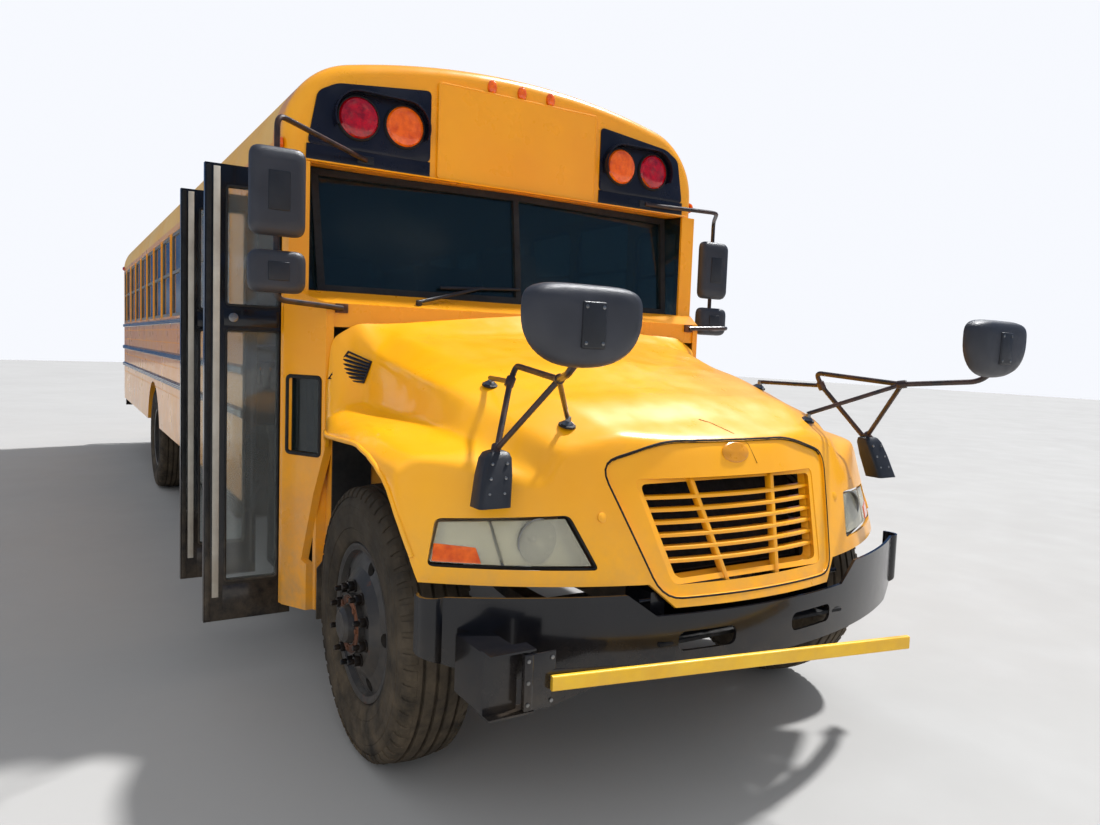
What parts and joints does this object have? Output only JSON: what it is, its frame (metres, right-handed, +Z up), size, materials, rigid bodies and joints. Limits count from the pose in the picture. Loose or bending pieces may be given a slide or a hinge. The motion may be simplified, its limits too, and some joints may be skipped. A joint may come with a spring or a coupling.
{
  "type": "school bus",
  "caption": "Full-size conventional school bus with a tilting hood, folding entrance door, rear emergency door, hollow cabin with bench seats, crossing arm and stop arm.",
  "frame": {"origin": "on the ground, on the centre plane, midway along the bus", "axes": "+X forward, +Y to the bus's left, +Z up"},
  "size_m": [11.69, 3.06, 3.01],
  "materials": {
    "aluminium": "satin",
    "amber_lens": "gloss",
    "arm_yellow": "satin",
    "black_paint": "satin",
    "black_plastic": "matte",
    "black_rubber": "matte",
    "body_yellow": "weathered gloss",
    "chassis_black": "matte, rusty",
    "clear_glass": "gloss",
    "engine_grey": "matte",
    "floor_rubber": "matte",
    "grey_plastic": "matte",
    "hood_yellow": "weathered gloss",
    "lamp_lens": "gloss",
    "red_lens": "gloss",
    "red_paint": "gloss",
    "roof_white": "weathered gloss",
    "sash_metal": "anodised",
    "seat_vinyl": "satin",
    "tinted_glass": "gloss",
    "tyre": "dusty",
    "wheel_black": "dusty, rusty"
  },
  "bodies": {
    "body": {"roof_panel": "body_yellow", "front_cap": "body_yellow", "side_wall_right": "body_yellow", "side_wall_left": "body_yellow", "window_sashes": "sash_metal", "window_glass": "tinted_glass", "rub_rails": "black_paint", "rear_wall": "body_yellow", "cowl": "body_yellow", "windshield_frame": "black_rubber", "front_glass": "clear_glass", "front_axle": "chassis_black", "rear_axle": "chassis_black", "leaf_springs": "chassis_black", "chassis_frame": "chassis_black", "floor": "floor_rubber", "stepwell": "aluminium", "engine_block": "engine_grey", "radiator": "black_plastic", "tank_and_battery_box": "chassis_black", "exhaust": "chassis_black", "front_bumper": "black_paint", "rear_bumper": "black_paint", "arm_brackets": "black_paint", "warning_lamps": "red_lens", "lamp_panels": "black_paint", "sign_panel": "body_yellow", "small_lamps": "amber_lens", "side_mirrors": "black_plastic", "wipers": "black_plastic", "roof_hatches": "roof_white", "mud_flaps": "black_rubber", "seat_cushions": "seat_vinyl", "seat_frames": "chassis_black", "dashboard": "grey_plastic"},
    "hood": {"hood_shell": "hood_yellow", "grille": "black_plastic", "headlamps": "lamp_lens", "crossover_mirrors": "black_plastic"},
    "knuckle_left": {"knuckle_left": "chassis_black"},
    "knuckle_right": {"knuckle_right": "chassis_black"},
    "front_wheel_left": {"front_tyre_left": "tyre", "front_rim_left": "wheel_black"},
    "front_wheel_right": {"front_tyre_right": "tyre", "front_rim_right": "wheel_black"},
    "rear_wheels_left": {"rear_tyres_left": "tyre", "rear_rims_left": "wheel_black"},
    "rear_wheels_right": {"rear_tyres_right": "tyre", "rear_rims_right": "wheel_black"},
    "entrance_door_front": {"door_leaf_front": "black_paint", "door_glass_front": "clear_glass"},
    "entrance_door_rear": {"door_leaf_rear": "black_paint", "door_glass_rear": "clear_glass"},
    "emergency_door": {"emergency_door": "body_yellow", "emergency_glass": "tinted_glass"},
    "crossing_arm": {"arm_plate": "black_paint", "crossing_arm": "arm_yellow"},
    "stop_arm": {"stop_blade": "red_paint"},
    "steering_wheel": {"steering_wheel": "black_plastic"}
  },
  "joints": [
    {"name": "hood_tilt", "type": "hinge", "parent": "body", "child": "hood", "pos_m": [5.475, 0, 0.765], "axis": [0, 1, 0], "range_deg": [0, 52]},
    {"name": "steer_left", "type": "hinge", "parent": "body", "child": "knuckle_left", "pos_m": [4.605, 0.8, 0.52], "axis": [0, 0, 1], "range_deg": [-35, 35]},
    {"name": "steer_right", "type": "hinge", "parent": "body", "child": "knuckle_right", "pos_m": [4.605, -0.8, 0.52], "axis": [0, 0, 1], "range_deg": [-35, 35]},
    {"name": "steering_wheel_turn", "type": "hinge", "parent": "body", "child": "steering_wheel", "pos_m": [3.375, 0.56, 1.56], "axis": [-0.8191, 0, 0.5736], "range_deg": [-350, 350]},
    {"name": "front_wheel_left_spin", "type": "hinge", "parent": "knuckle_left", "child": "front_wheel_left", "pos_m": [4.605, 1, 0.52], "axis": [0, 1, 0], "continuous": true},
    {"name": "front_wheel_right_spin", "type": "hinge", "parent": "knuckle_right", "child": "front_wheel_right", "pos_m": [4.605, -1, 0.52], "axis": [0, 1, 0], "continuous": true},
    {"name": "rear_wheels_left_spin", "type": "hinge", "parent": "body", "child": "rear_wheels_left", "pos_m": [-1.795, 0.89, 0.52], "axis": [0, 1, 0], "continuous": true},
    {"name": "rear_wheels_right_spin", "type": "hinge", "parent": "body", "child": "rear_wheels_right", "pos_m": [-1.795, -0.89, 0.52], "axis": [0, 1, 0], "continuous": true},
    {"name": "entrance_front_close", "type": "hinge", "parent": "body", "child": "entrance_door_front", "pos_m": [3.644, -1.17, 1.3], "axis": [0, 0, -1], "range_deg": [0, 90]},
    {"name": "entrance_rear_close", "type": "hinge", "parent": "body", "child": "entrance_door_rear", "pos_m": [2.916, -1.17, 1.3], "axis": [0, 0, 1], "range_deg": [0, 90]},
    {"name": "emergency_door_open", "type": "hinge", "parent": "body", "child": "emergency_door", "pos_m": [-5.711, -0.33, 1.7], "axis": [0, 0, 1], "range_deg": [0, 110]},
    {"name": "crossing_arm_swing", "type": "hinge", "parent": "body", "child": "crossing_arm", "pos_m": [5.55, -0.93, 0.6], "axis": [0, 0, -1], "range_deg": [-6, 79]},
    {"name": "stop_arm_swing", "type": "hinge", "parent": "body", "child": "stop_arm", "pos_m": [3.105, 1.267, 1.28], "axis": [0, 0, -1], "range_deg": [0, 90]}
  ],
  "couplings": [
    {"joint": "steer_right", "follows": "steer_left", "ratio": 1},
    {"joint": "steering_wheel_turn", "follows": "steer_left", "ratio": 10},
    {"joint": "entrance_rear_close", "follows": "entrance_front_close", "ratio": 1}
  ]
}
